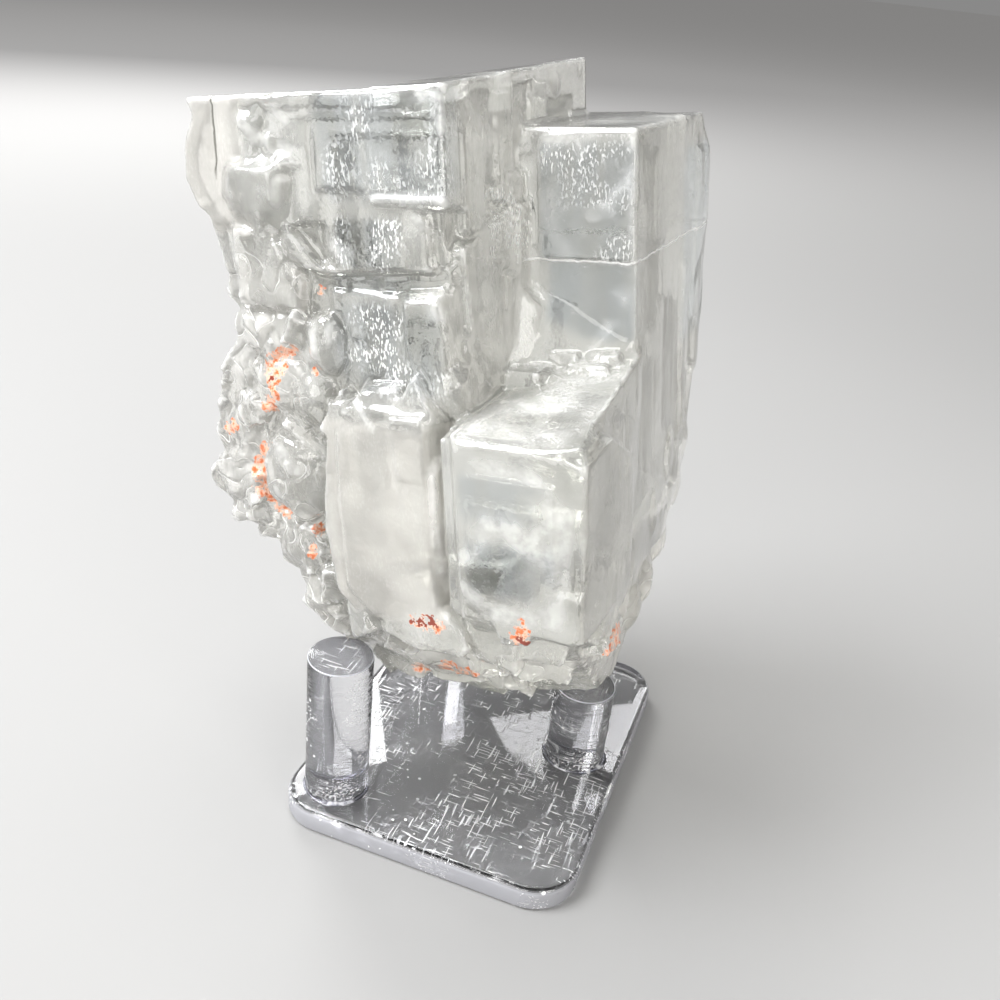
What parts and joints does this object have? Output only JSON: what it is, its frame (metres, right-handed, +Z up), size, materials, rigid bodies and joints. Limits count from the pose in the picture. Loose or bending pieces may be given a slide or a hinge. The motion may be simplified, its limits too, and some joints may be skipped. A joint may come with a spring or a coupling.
{
  "type": "fluorite crystal cluster on a peg stand",
  "caption": "Clear to milky cluster of stepped, intergrown cubic crystals with a ragged rust-stained side, resting on a clear acrylic stand with a flat rounded base plate and round pegs.",
  "frame": {"origin": "centre of the base plate's flat underside", "axes": "+Z up; X across the plate's short side, Y along its long side; the crystals' broad front faces look towards -Y"},
  "size_m": [0.0877, 0.0847, 0.1411],
  "materials": {
    "fluorite": "water-clear to milky crystal, etched and partly frosted faces, rust-orange stains",
    "acrylic_plate": "clear polished acrylic sheet with dust and fine scratches",
    "acrylic_peg": "clear polished acrylic rod with sawn, lightly scratched tops"
  },
  "bodies": {
    "root": {"fluorite_cluster": "fluorite", "base_plate": "acrylic_plate", "peg_tall_front": "acrylic_peg", "peg_tall_back": "acrylic_peg", "peg_short": "acrylic_peg"}
  },
  "joints": []
}
